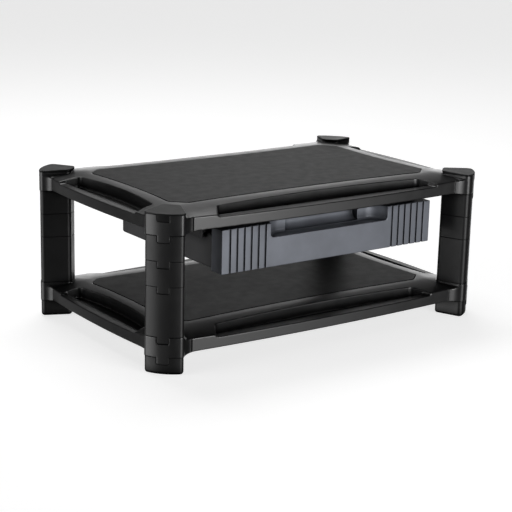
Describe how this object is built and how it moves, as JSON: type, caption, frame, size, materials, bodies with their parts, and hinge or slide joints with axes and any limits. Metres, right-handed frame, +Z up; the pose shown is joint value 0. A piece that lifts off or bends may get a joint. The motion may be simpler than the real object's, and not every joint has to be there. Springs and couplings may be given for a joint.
{
  "type": "monitor riser stand",
  "caption": "Low two-shelf stand for a desk: moulded decks with edge troughs on stacked corner columns, and a wide drawer that slides out from under the upper deck.",
  "frame": {"origin": "on the floor, at the centre of the four feet", "axes": "+X along the width, to the right as seen from the drawer side; the drawer opens towards -Y; +Z up"},
  "size_m": [0.4386, 0.2812, 0.1696],
  "materials": {
    "shelf": "satin moulded",
    "column": "satin moulded",
    "mat": "fine grained non-slip sheet",
    "pad": "matte",
    "runner": "satin moulded",
    "drawer_tray": "satin moulded",
    "drawer_front": "satin metallic grey",
    "screw": "zinc plated"
  },
  "bodies": {
    "frame": {"upper_shelf": "shelf", "lower_shelf": "shelf", "upper_mat": "mat", "lower_mat": "mat", "cap_front_left": "column", "cap_front_right": "column", "cap_rear_left": "column", "cap_rear_right": "column", "top_spacer_front_left": "column", "top_spacer_front_right": "column", "top_spacer_rear_left": "column", "top_spacer_rear_right": "column", "middle_spacer_front_left": "column", "middle_spacer_front_right": "column", "middle_spacer_rear_left": "column", "middle_spacer_rear_right": "column", "long_spacer_front_left": "column", "long_spacer_front_right": "column", "long_spacer_rear_left": "column", "long_spacer_rear_right": "column", "foot_front_left": "column", "foot_front_right": "column", "foot_rear_left": "column", "foot_rear_right": "column", "foot_pad_front_left": "pad", "foot_pad_front_right": "pad", "foot_pad_rear_left": "pad", "foot_pad_rear_right": "pad", "runner_left": "runner", "runner_right": "runner", "runner_screws": "screw"},
    "drawer": {"drawer_tray": "drawer_tray", "drawer_front": "drawer_front", "drawer_front_screws": "screw"}
  },
  "joints": [
    {"name": "drawer_slide", "type": "slide", "parent": "frame", "child": "drawer", "axis": [0, -1, 0], "range_m": [0, 0.145]}
  ]
}
